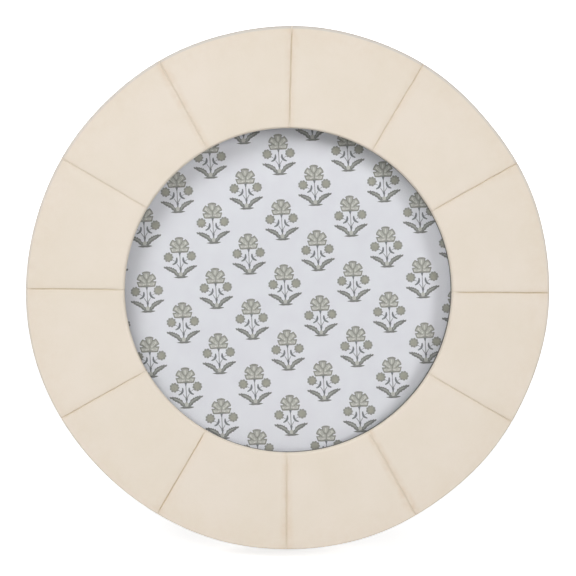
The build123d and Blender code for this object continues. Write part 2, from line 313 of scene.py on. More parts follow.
def fibre_board_material(name, shade, light, fleck, painted=None):
    """Wood fibre board: matted short fibres with darker flecks, and a dark grey painted shade where an
    attribute says.
    """
    shader = Shader(name, {"Roughness": 0.8})
    matted = shader.spread(shader.noise(0.45, 5, 0.75, 0.6), 0.32, 0.68)
    flecks = shader.spread(shader.noise(0.5, 3, 0.7, 0.3, (0.3, 1.0, 1.6)), 0.60, 0.74, 0.0, 0.7)
    colour = shader.mix(flecks, shader.mix(matted, shade, light), fleck)
    # Painted shade: dark grey in place of the shade that falls in a gap
    if painted:
        shade_colour = shader.mix(matted, tone(88, 88, 84), tone(104, 104, 99))
        colour = shader.mix(shader.attribute(painted), colour, shade_colour)
    shader.feed("Base Color", colour)
    shader.feed("Roughness", shader.spread(matted, 0.0, 1.0, 0.70, 0.88))
    shader.feed("Normal", shader.bump(matted, 0.03, 0.8))
    return shader.material


def flock_material():
    """Short flocked pile in warm grey: nap patches, single dark and light fibres, soft sheen."""
    shade, light, fibre = tone(133, 120, 107), tone(143, 130, 117), tone(92, 80, 69)
    pile = {"Roughness": 0.95, "Specular IOR Level": 0.2}
    sheen = {"Sheen Weight": 0.35, "Sheen Roughness": 0.4, "Sheen Tint": (0.80, 0.74, 0.68, 1)}
    shader = Shader("flocked_lining", {**pile, **sheen})
    base = shader.mix(shader.spread(shader.noise(7, 5, 0.65, 0.3), 0.30, 0.70), shade, light)
    fibres = shader.spread(shader.noise(0.13, 2, 0.8), 0.30, 0.70)
    shader.feed("Base Color", shader.mix(shader.math("MULTIPLY", fibres, 0.55), base, fibre))
    shader.feed("Roughness", shader.spread(fibres, 0.0, 1.0, 0.88, 1.0))
    nap = shader.bump(shader.noise(1.6, 3, 0.6), 0.05, 0.6)
    shader.feed("Normal", shader.bump(shader.noise(0.16, 2, 0.8), 0.07, 0.9, nap))
    return shader.material


def nickel_material():
    """Nickel-plated steel sheet, finely brushed, with soft handling marks."""
    shader = Shader("nickel_plated_steel", {"Metallic": 1.0, "Roughness": 0.3})
    marks = shader.spread(shader.noise(2.6, 4, 0.65), 0.35, 0.7)
    shader.feed("Base Color", shader.mix(marks, tone(172, 167, 159), tone(192, 188, 181)))
    brushed = shader.noise(0.12, 3, 0.7, 0.0, (1.0, 0.06, 0.06))
    brushed_roughness = shader.spread(brushed, 0.3, 0.7, 0.20, 0.34)
    shader.feed("Roughness", shader.math("ADD", brushed_roughness, shader.math("MULTIPLY", marks, 0.08)))
    shader.feed("Normal", shader.bump(brushed, 0.003, 0.5))
    return shader.material


def board_material():
    """Grey board with long paper fibres."""
    shade, light, fibre = tone(150, 144, 134), tone(172, 167, 158), tone(112, 103, 92)
    shader = Shader("grey_board", {"Roughness": 0.9})
    pulp = shader.spread(shader.noise(0.6, 5, 0.7, 0.5), 0.35, 0.65)
    fibres = shader.spread(shader.noise(0.7, 3, 0.7, 1.2, (1.0, 0.4, 0.4)), 0.62, 0.72, 0.0, 0.6)
    shader.feed("Base Color", shader.mix(fibres, shader.mix(pulp, shade, light), fibre))
    shader.feed("Normal", shader.bump(pulp, 0.02, 0.7))
    return shader.material


def paper_material():
    """Cool white card, with faint pulp clouds and a fine tooth."""
    shade, light, hollow = tone(224, 223, 230), tone(228, 228, 234), tone(190, 192, 200)
    shader = Shader("card_paper", {"Roughness": 0.7})
    base = shader.mix(shader.spread(shader.noise(5.0, 4, 0.6), 0.35, 0.65), shade, light)
    tooth = shader.spread(shader.noise(0.2, 3, 0.7), 0.35, 0.75)
    shader.feed("Base Color", shader.mix(shader.math("MULTIPLY", tooth, 0.08), base, hollow))
    shader.feed("Roughness", shader.spread(tooth, 0.0, 1.0, 0.62, 0.78))
    shader.feed("Normal", shader.bump(shader.noise(0.15, 3, 0.7), 0.006, 0.6))
    return shader.material


def ink_material(name, thin, full):
    """Block-printed ink: it lies unevenly, thin in places, and leaves the paper's hollows bare."""
    shader = Shader(name, {"Roughness": 0.65})
    density = shader.spread(shader.noise(1.1, 4, 0.7), 0.30, 0.66)
    laid = shader.mix(density, tone(*thin), tone(*full))
    tooth = shader.spread(shader.noise(0.14, 2, 0.8), 0.62, 0.80, 0.0, 0.35)
    shader.feed("Base Color", shader.mix(tooth, laid, tone(214, 215, 218)))
    shader.feed("Roughness", shader.spread(density, 0.0, 1.0, 0.72, 0.58))
    shader.feed("Normal", shader.bump(shader.noise(0.15, 3, 0.7), 0.006, 0.6))
    return shader.material


def glass_material():
    """Clear pane: light passes straight through, and its surface mirrors a little."""
    shader = Shader("clear_glass", {})
    shader.tree.nodes.remove(shader.surface)
    tints = (0.992, 0.995, 0.993, 1), (0.988, 0.993, 0.990, 1)
    tint = shader.mix(shader.spread(shader.noise(40, 2, 0.5), 0.3, 0.7), *tints)
    through = shader.add("ShaderNodeBsdfTransparent", {"Color": tint})
    mirror = shader.add("ShaderNodeBsdfGlossy", {"Roughness": 0.02})
    angle = shader.add("ShaderNodeFresnel", {"IOR": 1.5})
    backs = shader.add("ShaderNodeNewGeometry").outputs["Backfacing"]
    share = shader.math("MULTIPLY", angle.outputs["Fac"], shader.math("SUBTRACT", 1.0, backs))
    blended = shader.blend(share, through.outputs["BSDF"], mirror.outputs["BSDF"])
    shader.link(blended, shader.output.inputs["Surface"])
    return shader.material


resin = resin_material()
filler = filler_material()
core_tones = tone(124, 100, 76), tone(158, 132, 104), tone(84, 64, 46)
back_tones = tone(138, 110, 82), tone(170, 141, 110), tone(98, 74, 52)
# The core's lip is coloured dark grey as painted shade under the tiles' opening edge
core_board = fibre_board_material("core_fibre_board", *core_tones, "lip_painted_shade")
back_board = fibre_board_material("back_fibre_board", *back_tones)
grey_board = board_material()
flock = flock_material()
nickel = nickel_material()
glass = glass_material()
paper = paper_material()


# Pieces


def finish_piece(name, mesh, materials, body, node, smooth_angle=38):
    """Shades a mesh, gives it its materials, and puts it on its body in place of its node."""
    for material in materials:
        mesh.materials.append(material)
    mesh.shade_smooth()
    mesh.set_sharp_from_angle(angle=radians(smooth_angle))
    piece = bpy.data.objects.new(name, mesh)
    bpy.context.scene.collection.objects.link(piece)
    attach(piece, body)
    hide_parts(node)
    return piece


def mesh_from(name, points, faces, face_materials=None, **attributes):
    """Closed mesh from points in the ring's own coordinates, with values at its points."""
    mesh = bpy.data.meshes.new(name)
    mesh.from_pydata([at(*point) for point in points], [], faces)
    if face_materials:
        mesh.polygons.foreach_set("material_index", face_materials)
    for attribute_name, values in attributes.items():
        mesh.attributes.new(attribute_name, "FLOAT", "POINT").data.foreach_set("value", values)
    outward = bmesh.new()
    outward.from_mesh(mesh)
    bmesh.ops.recalc_face_normals(outward, faces=outward.faces)
    outward.to_mesh(mesh)
    outward.free()
    return mesh


def rounded(side, radius, steps):
    """Lines along a rounded edge: its side, distance in from it, drop, and that they are no wall."""
    turns = [pi / 2 * step / steps for step in range(steps + 1)]
    return [(side, radius * (1 - cos(turn)), radius * (1 - sin(turn)), False) for turn in turns]


def fractions(count):
    """Fractions between 0 and 1, without either end."""
    return [index / count for index in range(1, count)]


def advanced(items):
    """A list turned by one, so that each item takes the place of the one before it."""
    return items[1:] + items[:1]


def circle(radius, steps):
    """Points round a circle."""
    turns = [2 * pi * step / steps for step in range(steps)]
    return [(radius * cos(turn), radius * sin(turn)) for turn in turns]


def seam_line(index):
    """A point of a seam's line, the line's direction outwards, and the seam's number."""
    angle = radians(index * 360 / seam_count + seam_turn)
    along = Vector((cos(angle), sin(angle)))
    across = Vector((-sin(angle), cos(angle)))
    inner = Vector(seam_shift) + along * opening_radius + across * seam_inner_drifts[index]
    outer = Vector(seam_shift) + along * outer_radius + across * seam_outer_drifts[index]
    return inner, (outer - inner).normalized(), index


seam_lines = [seam_line(index) for index in range(seam_count)]


def line_angle(line, offset, radius):
    """Angle round the ring at which a seam line, moved anticlockwise by an offset, meets a radius."""
    point, along, index = line
    place = Vector((radius / seam_waver_length, index * waver_seed[0], waver_seed[1]))
    start = point + Vector((-along.y, along.x)) * (offset + seam_waver * noise.noise(place))
    nearest = -start.dot(along)
    distance = nearest + sqrt(nearest**2 - start.length_squared + radius**2)
    crossing = start + along * distance
    return atan2(crossing.y, crossing.x)


def wave_sum(waves, angle):
    """Height of some waves round the ring at an angle."""
    return sum(height * cos(count * angle + radians(phase)) for count, height, phase in waves)


def outline_radius(angle):
    """Radius of the covering's outside, which is true only where the ring stands."""
    wave = wave_sum(outline_waves, angle)
    apart = (angle - radians(standing_angle) + pi) % (2 * pi) - pi
    return outer_radius + wave * (1 - exp(-((apart / radians(standing_spread)) ** 2)))


def opening_edge(angle):
    """Distance from the ring's middle to the opening's edge."""
    along = Vector((cos(angle), sin(angle)))
    middle = Vector(opening_shift)
    shift = middle.dot(along)
    circle_edge = shift + sqrt(opening_radius**2 - middle.length_squared + shift**2)
    return circle_edge + wave_sum(opening_waves, angle)


def opening_round(angle):
    """Radius of the opening's sanded edge, which is sharper at the top."""
    return opening_rounding * (1 - opening_sharpness * max(0, sin(angle)))


def rim_round(angle):
    """Radius of the rim's sanded front edge, which is sharper at the bottom."""
    return rim_front_rounding * (1 + rim_sharpness * sin(angle))


def station_radius(side, value, angle, edge_round, rim_edge_round):
    """Radius of a station counted from the opening's edge, from the rim, or between their roundings."""
    inner, outer = opening_edge(angle), outline_radius(angle)
    if side == "inner":
        return inner + value
    if side == "outer":
        return outer - value
    start = inner + edge_round
    return start + value * (outer - rim_edge_round - start)


def column_angle(segment, side, value, radius):
    """Angle of a column of a segment's grid at a radius."""
    distance = value if side != "between" else seam_side_rounding
    start = line_angle(seam_lines[segment], seam_gap / 2 + distance, radius)
    end = line_angle(seam_lines[(segment + 1) % seam_count], -seam_gap / 2 - distance, radius)
    if end < start:
        end += 2 * pi
    return {"start": start, "end": end, "between": start + value * (end - start)}[side]


def segment_columns():
    """Columns across a segment: its two walls, its rounded long edges and what lies between."""
    columns = [("start", 0, 0, True), *rounded("start", seam_side_rounding, long_edge_steps)]
    columns += [("between", share, 0, False) for share in fractions(tile_steps)]
    columns += reversed(rounded("end", seam_side_rounding, long_edge_steps))
    return [*columns, ("end", 0, 0, True)]


def closed_grid(row_count, column_count):
    """Faces of a grid of points whose first and last rows are joined to close its back."""
    rows = [range(row * column_count, (row + 1) * column_count) for row in range(row_count)]
    faces = []
    for row, following in zip(rows, rows[1:]):
        faces += zip(row, following, following[1:], row[1:])
    # The back touches the grid's first and last columns all along, and the others at their ends
    columns = list(zip(*rows))
    edges = [columns[0], *(column[:: row_count - 1] for column in columns[1:-1]), columns[-1]]
    faces += [edge[::-1] + beside for edge, beside in zip(edges, edges[1:])]
    return faces


def seam_stain(u, v):
    """How strongly the filler has stained the resin at a point of the face."""
    point = Vector((u, v))
    strongest = 0
    for (line_start, along, _), strength in zip(seam_lines, seam_stains):
        offset = point - line_start
        if offset.dot(along) > -stain_overrun:
            apart = abs(along.cross(offset))
            strongest = max(strongest, strength * exp(-((apart / stain_width) ** 2)))
    worn = max(0, point.length - worn_from) / (outer_radius - worn_from)
    return strongest + rim_wear * worn


def covering_piece(kind, node, segment, points, row_count, column_count, **attributes):
    """A tile or strip of resin from its grid of points."""
    name = f"{kind}_{segment + 1:02d}"
    mesh = mesh_from(name, points, closed_grid(row_count, column_count), **attributes)
    finish_piece(name, mesh, [resin], "frame", f"{node}_{segment + 1:02d}")


def face_tile(segment):
    """One wedge-shaped tile with a sanded opening edge, rim edge and long edges."""
    rows = [("inner", 0, 0, True), *rounded("inner", 1, edge_steps)]
    rows += [("between", share, 0, False) for share in fractions(tile_steps)]
    rows.append(("outer", handled_beyond, 0, False))
    rows += reversed(rounded("outer", 1, rim_edge_steps))
    rows.append(("outer", 0, 0, True))
    columns = segment_columns()
    lift = noise.noise(Vector((segment * lift_seed[0], lift_seed[1], lift_seed[1]))) * tile_lift
    points, handled = [], []
    for row_side, row_value, row_drop, row_wall in rows:
        for side, value, drop, wall in columns:
            radius = middle_radius
            for _ in range(settling_rounds):
                angle = column_angle(segment, side, value, radius)
                rounds = {"inner": opening_round(angle), "between": 1, "outer": rim_round(angle)}
                distance = row_value * rounds[row_side]
                radius = station_radius(row_side, distance, angle, rounds["inner"], rounds["outer"])
            # Weight of the painted shade, rising over the rim's rounding and stronger towards the top
            on_rim = 0
            if row_side == "outer" and not row_wall:
                on_rim = min(1, (handled_beyond - row_value) / (handled_beyond - 1))
            handled.append(on_rim * (rim_shade_strength[0] + rim_shade_strength[1] * sin(angle)))
            u, v = radius * cos(angle), radius * sin(angle)
            uneven = noise.noise(Vector((u, v, segment * unevenness_seed)) / tile_waviness)
            level = tile_front + lift + tile_unevenness * uneven - row_drop * rounds[row_side] - drop
            points.append((u, v, tile_back if row_wall or wall else level))
    stains = [seam_stain(u, v) for u, v, _ in points]
    covering_piece(
        "tile", "face_tile", segment, points, len(rows), len(columns), stain=stains, handled=handled
    )


def edge_strip(segment):
    """One strip of the rim's covering, curved round the core ring."""
    low, high = core_back + rim_back_rounding, tile_back - joint_rounding
    back_edge = rounded("back", rim_back_rounding, edge_steps)
    front_edge = rounded("front", joint_rounding, joint_edge_steps)
    rows = [(core_back, 0, True)]
    rows += [(core_back + distance, drop, False) for _, distance, drop, _ in back_edge]
    rows += [(low + share * (high - low), 0, False) for share in fractions(strip_steps)]
    rows += [(tile_back - distance, drop, False) for _, distance, drop, _ in reversed(front_edge)]
    rows.append((tile_back, 0, True))
    columns = segment_columns()
    points = []
    for level, row_drop, row_wall in rows:
        for side, value, drop, wall in columns:
            radius = outer_radius
            for _ in range(settling_rounds):
                angle = column_angle(segment, side, value, radius)
                radius = core_radius if row_wall or wall else outline_radius(angle) - row_drop - drop
            points.append((radius * cos(angle), radius * sin(angle), level))
    stains = [strip_stain * seam_stain(u, v) for u, v, _ in points]
    covering_piece("strip", "edge_strip", segment, points, len(rows), len(columns), stain=stains)


def arc(side, radius, level, first_turn):
    """Stations along a quarter of a rounding, each with the way that it faces."""
    turns = [first_turn - pi / 2 * step / rim_edge_steps for step in range(rim_edge_steps + 1)]
    return [(side, radius * (1 - abs(cos(turn))), level + radius * sin(turn), turn) for turn in turns]


def seam_path(edge_round, rim_edge_round):
    """Stations along a filled seam: edge it is counted from, distance, level, and the way it faces."""
    opening_top, rim_top = tile_front - edge_round, tile_front - rim_edge_round
    low = core_back + rim_back_rounding
    path = [("inner", 0, tile_back + share * (opening_top - tile_back), pi) for share in (0, 0.5)]
    path += arc("inner", edge_round, opening_top, pi)
    path += [("between", share, tile_front, pi / 2) for share in fractions(seam_steps)]
    path += arc("outer", rim_edge_round, rim_top, pi / 2)
    path += [("outer", 0, rim_top + share * (low - rim_top), 0) for share in fractions(seam_side_steps)]
    return path + arc("outer", rim_back_rounding, low, 0)


def seam_openness(index, side, value):
    """How open a seam is at a station of its path, from 0, where it is smeared over, to 1."""
    if side == "inner":
        return seam_inner_ends[index]
    if side == "outer":
        return seam_outer_ends[index]
    width = outer_radius - opening_radius
    from_inner = min(1, seam_inner_ends[index] + value * width / seam_fade_length)
    from_outer = min(1, seam_outer_ends[index] + (1 - value) * width / seam_fade_length)
    return from_inner * from_outer


def seam_tone(index, side, value):
    """How dark the filler of a seam is at a station of its path, from 0 to 1."""
    inner, outer = seam_inner_tones[index], seam_outer_tones[index]
    along = {"inner": 0, "between": value, "outer": 1}[side]
    return (inner + along * (outer - inner)) * seam_openness(index, side, value)


def seam_point(line, offset, radius, level):
    """A point beside a seam's line."""
    angle = line_angle(line, offset, radius)
    return radius * cos(angle), radius * sin(angle), level


def seam_row(line, order, station, rounds):
    """Points across a seam at a station: down one wall, over the filler's hollow, down the other."""
    side, value, level, lean = station
    index = line[2]
    place = Vector((order * hollow_seed[0], index * hollow_seed[1], hollow_seed[2]))
    roughened = 1 + hollow_roughness * noise.noise(place)
    flushness = flush_share + (1 - flush_share) * seam_openness(index, side, value)
    hollowed, floor = [], []
    for share in across_shares:
        offset = share * seam_gap / 2
        deepening = wall_hollow_share + (1 - wall_hollow_share) * (1 - share**2)
        recess = max(least_recess, seam_recesses[index] * roughened * deepening * flushness)
        radius = middle_radius
        for _ in range(filler_settling_rounds):
            angle = line_angle(line, offset, radius)
            radius = station_radius(side, value, angle, *rounds)
        sunk_level = level - recess * sin(lean)
        hollowed.append(seam_point(line, offset, radius - recess * cos(lean), sunk_level))
        if abs(share) == 1:
            least, most = opening_edge(angle) + filler_depth, outline_radius(angle) - filler_depth
            floor_level = min(sunk_level, tile_front - filler_depth)
            floor.append(seam_point(line, offset, min(max(radius, least), most), floor_level))
    return [floor[0], *hollowed, floor[1]]


def seam_fillers():
    """The filler of all seams: thin ridges between the tiles, hollowed a little by sanding."""
    points, faces, pales = [], [], []
    for line in seam_lines:
        edge_round = opening_round(line_angle(line, 0, opening_radius))
        rim_edge_round = rim_round(line_angle(line, 0, outer_radius))
        numbers, table = {}, []
        for order, station in enumerate(seam_path(edge_round, rim_edge_round)):
            table.append([])
            for point in seam_row(line, order, station, (edge_round, rim_edge_round)):
                key = tuple(round(value, weld_digits) for value in point)
                if key not in numbers:
                    numbers[key] = len(points)
                    points.append(point)
                    pales.append(1 - seam_tone(line[2], *station[:2]))
                table[-1].append(numbers[key])
        for row, following in zip(table, table[1:]):
            for corners in zip(row, following, advanced(following), advanced(row)):
                distinct = list(dict.fromkeys(corners))
                if len(distinct) > 2:
                    faces.append(distinct)
        faces += [table[0], table[-1]]
    mesh = mesh_from("seam_lines", points, faces, pale=pales)
    finish_piece("seam_lines", mesh, [filler], "frame", "seam_filler")


def welded(node, flat_angle=0.4):
    """A node's mesh with its split corners joined and its flat faces made whole."""
    solid = bmesh.new()
    solid.from_mesh(nodes[node].data)
    bmesh.ops.remove_doubles(solid, verts=solid.verts, dist=0.001 * MM)
    bmesh.ops.dissolve_limit(
        solid,
        angle_limit=radians(flat_angle),
        verts=solid.verts,
        edges=solid.edges,
        use_dissolve_boundaries=False,
    )
    return solid


def mesh_of(name, solid):
    """A new mesh with the shape of an edited solid, which is let go."""
    mesh = bpy.data.meshes.new(name)
    solid.to_mesh(mesh)
    solid.free()
    return mesh


def eased_piece(name, node, body, material, width, edge_angle=40):
    """A node's shape with its sharp edges eased by a width, in millimetres."""
    solid = welded(node)
    sharp = [edge for edge in solid.edges if edge.calc_face_angle(0) > radians(edge_angle)]
    bmesh.ops.bevel(
        solid, geom=sharp, offset=width * MM, segments=3, profile=0.5, affect="EDGES", clamp_overlap=True
    )
    return finish_piece(name, mesh_of(name, solid), [material], body, node)


def core_ring():
    """The core ring; its lip, coloured dark grey as painted shade for the gap under the tiles' edge, stays
    back from the opening by a changing width.
    """
    solid = welded("ring_core")
    painted = solid.verts.layers.float.new("lip_painted_shade")
    for vertex in solid.verts:
        offset = (vertex.co - ring_centre) / MM
        u, v = offset.dot(right), offset.dot(upward)
        if hypot(u, v) < lip_radius + lip_tolerance:
            angle = atan2(v, u)
            radius = opening_edge(angle) + wave_sum(lip_waves, angle)
            vertex.co = at(radius * cos(angle), radius * sin(angle), offset.dot(front))
            # Painted shade on the lip
            vertex[painted] = 1
    finish_piece("core", mesh_of("core", solid), [core_board], "frame", "ring_core")


# The card's print: a traditional sprig, repeated in half drop. Its shapes are drawn upright from
# the middle of their foot, in millimetres, and are laid one over the other.

sprig_tilt = 2.75
sprig_height = 12.0
sprig_first_head = (-2.10, 26.20)
sprig_steps = ((10.54, -9.05), (-9.66, -10.09))
sprig_range = range(-9, 10)
ink_wander = 0.05
ink_wander_fineness = 1.1
head_edge = 0.33
leaf_notch = 0.16
notch_steps = 4
bloom_spacing = 3.37
bloom_radius, bloom_scallop = 1.47, 0.20
heart_radius, heart_scallop, heart_turn = 1.06, 0.42, 0.35
bloom_lobes = 9
lobe_steps = 5
lobe_fullness = 0.7
card_steps = 240
inside_outlines = 1
ink_weld = 1e-4
glass_air = 0.04


def smooth_curve(points, steps=3):
    """Points of a smooth line through a few, without the last one."""

    def between(a, b, c, d, t):
        return 0.5 * (
            2 * b + (c - a) * t + (2 * a - 5 * b + 4 * c - d) * t * t + (3 * b - a - 3 * c + d) * t**3
        )

    ends = [points[0], *points, points[-1]]
    line = []
    for four in zip(ends, ends[1:], ends[2:], ends[3:]):
        line += [tuple(between(*row, step / steps) for row in zip(*four)) for step in range(steps)]
    return line


def stroke(points, widths, steps=3):
    """Outline of a smooth stroke along points, with a width at each."""
    centre = smooth_curve([(*point, width) for point, width in zip(points, widths)], steps)
    centre.append((*points[-1], widths[-1]))
    left, back = [], []
    for index, (x, y, width) in enumerate(centre):
        ahead = centre[min(index + 1, len(centre) - 1)]
        behind = centre[max(index - 1, 0)]
        along = Vector((ahead[0] - behind[0], ahead[1] - behind[1])).normalized()
        left.append((x - along.y * width / 2, y + along.x * width / 2))
        back.append((x + along.y * width / 2, y - along.x * width / 2))
    return left + back[::-1]


def mirrored(outline):
    """An outline on the right, turned over to the left."""
    return [(-x, y) for x, y in reversed(outline)]


def both_sides(outline):
    """An outline on the right, carried over to the left to close it."""
    return outline + mirrored(outline)


def scalloped(centre, radius, depth, turn):
    """Round bloom with a scalloped edge."""
    outline = []
    for index in range(bloom_lobes * lobe_steps):
        angle = 2 * pi * index / (bloom_lobes * lobe_steps) + turn
        bulge = abs(sin(bloom_lobes * (angle - turn) / 2)) ** lobe_fullness
        distance = radius * (1 - depth + depth * bulge)
        outline.append((centre[0] + distance * cos(angle), centre[1] + distance * sin(angle)))
    return outline


def inset(outline, depth):
    """An anticlockwise outline, moved inwards by a depth."""
    moved = []
    for before, point, after in zip(outline[-1:] + outline[:-1], outline, advanced(outline)):
        along = Vector((after[0] - before[0], after[1] - before[1])).normalized()
        moved.append((point[0] - along.y * depth, point[1] + along.x * depth))
    return moved


def notched(outline, depth):
    """An outline with small notches along it, as block-printed leaves have."""
    shallow = inset(outline, depth)
    points = enumerate(zip(shallow, outline))
    return [pair[0] if index % notch_steps < notch_steps / 2 else pair[1] for index, pair in points]


def sprig_shapes():
    """Shapes of one sprig from the lowest layer up, each with its ink."""
    shapes = []

    def lay(ink, outline):
        shapes.append((ink, outline))

    def lay_pair(ink, outline):
        lay(ink, outline)
        lay(ink, mirrored(outline))

    head = []
    for lobe in (
        [(1.2, 7.42), (2.40, 7.34), (2.60, 7.78), (2.77, 8.33), (2.88, 8.82), (2.20, 8.84), (1.90, 8.98)],
        [(1.94, 9.12), (2.40, 9.22), (2.86, 9.46), (2.76, 9.96), (2.52, 10.42), (2.22, 10.86)],
        [(1.92, 11.16), (1.42, 10.86), (1.06, 10.84), (1.20, 11.22), (1.36, 11.50)],
        [(0.96, 11.68), (0.48, 11.80), (0.10, 11.84)],
    ):
        head += smooth_curve(lobe)
    upper_light = [(0.44, 8.66), (0.66, 8.60), (1.12, 9.06), (1.62, 9.46), (2.06, 9.76), (2.12, 10.04)]
    upper_light += [(1.90, 10.30), (1.66, 10.26), (1.28, 9.88), (0.88, 9.40), (0.54, 8.98)]
    lower_light = [(0.62, 7.76), (1.30, 7.68), (2.10, 7.66), (2.26, 8.02), (2.30, 8.36)]
    lower_light += [(1.66, 8.18), (1.06, 8.14), (0.66, 8.20)]
    middle_light = [(0.32, 7.82), (0.48, 7.82), (0.52, 8.20), (0.40, 8.40), (0.30, 8.26)]
    top_light = [(0.06, 9.76), (0.18, 10.14), (0.18, 10.76), (0.10, 11.10)]
    lay("outline", both_sides(head))
    lay("petal", inset(both_sides(head), head_edge))
    lay("pale", both_sides(top_light))
    for light in (upper_light, lower_light, middle_light):
        lay_pair("pale", light)
    for points, widths in (
        ([(1.66, 10.00), (1.24, 9.52), (0.86, 9.06)], (0.08, 0.17, 0.10)),
        ([(2.06, 7.96), (1.56, 7.92), (1.04, 7.96)], (0.08, 0.15, 0.10)),
        ([(1.04, 10.86), (0.66, 9.98), (0.12, 9.30)], (0.34, 0.30, 0.28)),
        ([(2.26, 9.28), (1.62, 8.92), (1.02, 8.44)], (0.22, 0.36, 0.14)),
        ([(0.70, 11.36), (0.34, 11.42), (0.0, 11.44)], (0.20, 0.26, 0.28)),
    ):
        lay_pair("outline", stroke(points, widths))
    middle_vein = [(0.06, 9.50), (0.12, 8.90), (0.14, 8.30), (0.08, 7.70)]
    lay("outline", stroke(middle_vein, (0.36, 0.30, 0.24, 0.14)))
    lay("outline", stroke([(-2.38, 7.38), (0.0, 7.38), (2.38, 7.34)], (0.30, 0.36, 0.30), 4))

    lay("curl", [(-0.40, 7.34), (0.40, 7.34), (0.26, 6.85), (0.12, 6.30), (-0.12, 6.30), (-0.26, 6.85)])
    for side, height, turn in ((-1, 6.03, 0.3), (1, 6.11, 0.9)):
        middle = (side * bloom_spacing, height)
        lay("bloom_edge", scalloped(middle, bloom_radius, bloom_scallop, turn))
        lay("bloom", scalloped(middle, heart_radius, heart_scallop, turn + heart_turn))
        twig = [(side * 2.30, 5.30), (side * 1.85, 4.98), (side * 1.45, 4.78)]
        lay("stem", stroke(twig, (0.24, 0.16, 0.14)))
    lay("stem", stroke([(0.0, 6.4), (0.03, 4.6), (0.04, 2.8)], (0.26, 0.23, 0.30), 4))
    curl = [(0.96, 5.84), (0.98, 4.98), (1.36, 4.28), (2.24, 3.80)]
    lay_pair("curl", stroke(curl, (0.30, 0.60, 0.58, 0.32), 5))
    lay_pair("stem", stroke([(0.96, 4.05), (0.52, 3.35), (0.06, 2.60)], (0.20, 0.24, 0.28)))
    joint = [(0.05, 2.95), (0.06, 2.50), (0.06, 2.05), (0.04, 1.30)]
    lay("curl", stroke(joint, (0.28, 0.70, 0.44, 0.26)))

    lay("outline", both_sides(smooth_curve([(1.10, 0.12), (0.90, 0.55), (0.48, 1.14), (0.12, 1.72)])))
    lay("mound", both_sides(smooth_curve([(0.86, 0.30), (0.64, 0.98), (0.20, 1.66)])))
    upper = [(0.34, 0.40), (0.46, 0.90), (0.78, 1.56), (1.36, 2.36), (1.96, 2.82), (2.36, 2.94)]
    upper += [(2.84, 3.18), (3.24, 3.26), (3.96, 3.48), (4.30, 3.39), (5.14, 3.32)]
    lower = [(5.14, 3.32), (4.62, 2.74), (4.02, 2.38), (3.64, 2.04), (2.94, 1.70)]
    lower += [(2.54, 1.42), (1.80, 0.86), (1.18, 0.18)]
    leaf = (smooth_curve(upper) + smooth_curve(lower) + lower[-1:])[::-1]
    rib = [(0.86, 0.70), (1.45, 1.62), (2.35, 2.26), (3.60, 2.80)]
    lay_pair("leaf", notched(leaf, leaf_notch))
    lay_pair("rib", stroke(rib, (0.18, 0.44, 0.44, 0.16), 4))
    foot = [(-2.18, 0.02), (-1.0, 0.32), (0.0, 0.24), (1.0, 0.34)]
    foot += [(2.18, 0.10), (1.0, -0.26), (0.0, -0.24), (-1.0, -0.30)]
    lay("leaf", smooth_curve(foot))
    return shapes


def turns_left(outline):
    """Whether an outline runs anticlockwise."""
    return sum(a.x * b.y - b.x * a.y for a, b in zip(outline, advanced(outline))) > 0


def sprig_places():
    """Foot of each sprig whose shapes can lie on the card."""
    places = []
    tilt = radians(sprig_tilt)
    foot_offset = Vector((sprig_height * sin(tilt), -sprig_height * cos(tilt)))
    first_step, second_step = (Vector(step) for step in sprig_steps)
    for first in sprig_range:
        for second in sprig_range:
            head = Vector(sprig_first_head) + first_step * first + second_step * second
            foot = head + foot_offset
            if ((head + foot) / 2).length < card_radius + sprig_height / 2:
                places.append(foot)
    return places


def border_loop(faces):
    """Points round the outside of a flat patch of faces."""
    edges = dict.fromkeys(edge for face in faces for edge in zip(face, advanced(face)))
    following = {start: end for start, end in edges if (end, start) not in edges}
    loop = [next(iter(following))]
    while following[loop[-1]] != loop[0]:
        loop.append(following[loop[-1]])
    return loop


def printed_card():
    """The card as one slab whose flat front is divided into paper and ink."""
    ink_order = {ink: index + 1 for index, ink in enumerate(inks)}
    corners = [Vector(point) for point in circle(card_radius, card_steps)]
    outlines = [list(range(card_steps))]
    layer_inks = [0]
    tilt = radians(sprig_tilt)
    shapes = sprig_shapes()
    for number, foot in enumerate(sprig_places()):
        for ink, outline in shapes:
            start = len(corners)
            for x, y in outline:
                place = foot + Vector((x * cos(tilt) - y * sin(tilt), x * sin(tilt) + y * cos(tilt)))
                spot = Vector((place.x, place.y, number * ink_seed[0])) * ink_wander_fineness
                wander = Vector((noise.noise(spot), noise.noise(spot + Vector((0, 0, ink_seed[1])))))
                corners.append(place + wander * ink_wander)
            numbers = list(range(start, len(corners)))
            outlines.append(numbers if turns_left(corners[start:]) else numbers[::-1])
            layer_inks.append(ink_order[ink])
    # Each face of the division knows the outlines that it lies in; the last one laid is on top
    divided = delaunay_2d_cdt(corners, [], outlines, inside_outlines, ink_weld, True)
    flat, _, patches, _, _, owners = divided
    placed = {}
    points, faces, indices = [], [], []
    for patch, owner in zip(patches, owners):
        if 0 not in owner:
            continue
        for corner in patch:
            if corner not in placed:
                placed[corner] = len(points)
                points.append((flat[corner].x, flat[corner].y, card_front - glass_air))
        faces.append([placed[corner] for corner in patch])
        indices.append(layer_inks[max(owner)])
    loop = border_loop(faces)
    back_loop = list(range(len(points), len(points) + len(loop)))
    points += [(points[corner][0], points[corner][1], card_back) for corner in loop]
    faces += zip(advanced(loop), loop, back_loop, advanced(back_loop))
    faces.append(back_loop[::-1])
    indices += [0] * (len(loop) + 1)
    materials = [paper, *(ink_material(f"ink_{ink}", *colours) for ink, colours in inks.items())]
    mesh = mesh_from("printed_card", points, faces, indices)
    finish_piece("printed_card", mesh, materials, "frame", "insert_card")


